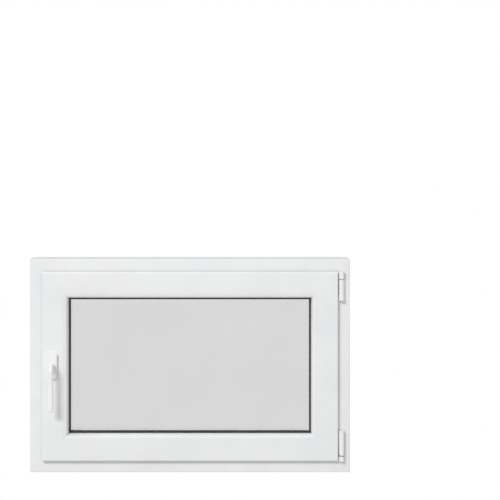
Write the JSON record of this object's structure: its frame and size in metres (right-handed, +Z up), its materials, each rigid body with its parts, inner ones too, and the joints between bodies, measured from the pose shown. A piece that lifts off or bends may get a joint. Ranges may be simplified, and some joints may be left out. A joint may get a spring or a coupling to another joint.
{
  "type": "casement window",
  "caption": "Small white tilt-and-turn casement window: framed sash with sealed glazing, lever handle on the left and hinges on the right.",
  "frame": {"origin": "centre of the outer frame's bottom face, half way through the profile's depth", "axes": "+X to the right seen from the room, +Y to the outside, +Z up; the handle and hinges face -Y"},
  "size_m": [0.9, 0.1425, 0.6],
  "materials": {
    "white_pvc": "smooth satin white PVC-U",
    "white_cover_plastic": "smooth moulded white plastic",
    "white_handle_paint": "white powder coat on cast aluminium",
    "black_gasket": "matt black weather seal",
    "clear_glass": "clear float glass",
    "spacer_aluminium": "mill aluminium",
    "black_edge_seal": "butyl and polysulphide sealant",
    "block_plastic": "moulded polypropylene",
    "plated_screws": "zinc-plated steel",
    "galvanised_steel": "galvanised sheet steel",
    "zinc_hardware": "silver passivated zinc plating"
  },
  "bodies": {
    "frame": {"frame_sill": "white_pvc", "frame_jamb_right": "white_pvc", "frame_head": "white_pvc", "frame_jamb_left": "white_pvc", "frame_steel_rails": "galvanised_steel", "frame_steel_jambs": "galvanised_steel", "frame_gasket": "black_gasket", "drainage_caps": "white_cover_plastic", "striker_upper": "zinc_hardware", "striker_lower": "zinc_hardware", "striker_head": "zinc_hardware", "tilt_keep": "zinc_hardware", "lower_bearing_bracket": "zinc_hardware", "lower_bearing_cover": "white_cover_plastic", "stay_bearing": "zinc_hardware", "stay_bearing_pin": "zinc_hardware", "stay_bearing_cover": "white_cover_plastic", "frame_hardware_screws": "plated_screws"},
    "hinge_carrier": {"hinge_swivel": "zinc_hardware"},
    "sash": {"sash_bottom": "white_pvc", "sash_right": "white_pvc", "sash_top": "white_pvc", "sash_left": "white_pvc", "sash_steel_rails": "galvanised_steel", "sash_steel_stiles": "galvanised_steel", "sash_gasket": "black_gasket", "bead_bottom": "white_pvc", "bead_right": "white_pvc", "bead_top": "white_pvc", "bead_left": "white_pvc", "glazing_gasket_inner": "black_gasket", "glazing_gasket_outer": "black_gasket", "glass_inner": "clear_glass", "glass_outer": "clear_glass", "glass_spacer": "spacer_aluminium", "glass_edge_seal": "black_edge_seal", "glazing_blocks": "block_plastic", "sash_hinge_strap": "zinc_hardware", "tilt_axle": "zinc_hardware", "sash_hinge_cover": "white_cover_plastic", "gearbox_housing": "zinc_hardware", "faceplate_left": "zinc_hardware", "corner_drive_top": "zinc_hardware", "corner_drive_bottom": "zinc_hardware", "stay_guide": "zinc_hardware", "sash_hardware_screws": "plated_screws", "handle_rosette": "white_handle_paint", "rosette_cap": "white_handle_paint", "handle_screws": "plated_screws"},
    "handle": {"handle_lever": "white_handle_paint", "handle_spindle": "zinc_hardware", "drive_pinion": "zinc_hardware"},
    "left_rod": {"left_drive_rod": "zinc_hardware"},
    "top_rod": {"top_drive_rod": "zinc_hardware"},
    "bottom_rod": {"bottom_drive_rod": "zinc_hardware"},
    "stay": {"stay_arm": "zinc_hardware", "stay_arm_pin": "zinc_hardware", "stay_arm_cap": "white_cover_plastic"}
  },
  "joints": [
    {"name": "sash_turn", "type": "hinge", "parent": "frame", "child": "hinge_carrier", "pos_m": [0.425, -0.046, 0.054], "axis": [0, 0, 1], "range_deg": [0, 90]},
    {"name": "sash_tilt", "type": "hinge", "parent": "hinge_carrier", "child": "sash", "pos_m": [0.425, -0.046, 0.054], "axis": [1, 0, 0], "range_deg": [0, 10]},
    {"name": "stay_swing", "type": "hinge", "parent": "hinge_carrier", "child": "stay", "pos_m": [0.425, -0.046, 0.054], "axis": [0, 0, 1], "range_deg": [0, 19]},
    {"name": "handle_turn", "type": "hinge", "parent": "sash", "child": "handle", "pos_m": [-0.3845, -0.046, 0.304], "axis": [0, -1, 0], "range_deg": [0, 180]},
    {"name": "left_rod_slide", "type": "slide", "parent": "sash", "child": "left_rod", "axis": [0, 0, -1], "range_m": [0, 0.024]},
    {"name": "top_rod_slide", "type": "slide", "parent": "sash", "child": "top_rod", "axis": [-1, 0, 0], "range_m": [0, 0.024]},
    {"name": "bottom_rod_slide", "type": "slide", "parent": "sash", "child": "bottom_rod", "axis": [1, 0, 0], "range_m": [0, 0.024]}
  ],
  "couplings": [
    {"joint": "stay_swing", "follows": "sash_tilt", "ratio": 1.9},
    {"joint": "left_rod_slide", "follows": "handle_turn", "m_per_rad": 0.0076394},
    {"joint": "top_rod_slide", "follows": "handle_turn", "m_per_rad": 0.0076394},
    {"joint": "bottom_rod_slide", "follows": "handle_turn", "m_per_rad": 0.0076394}
  ]
}
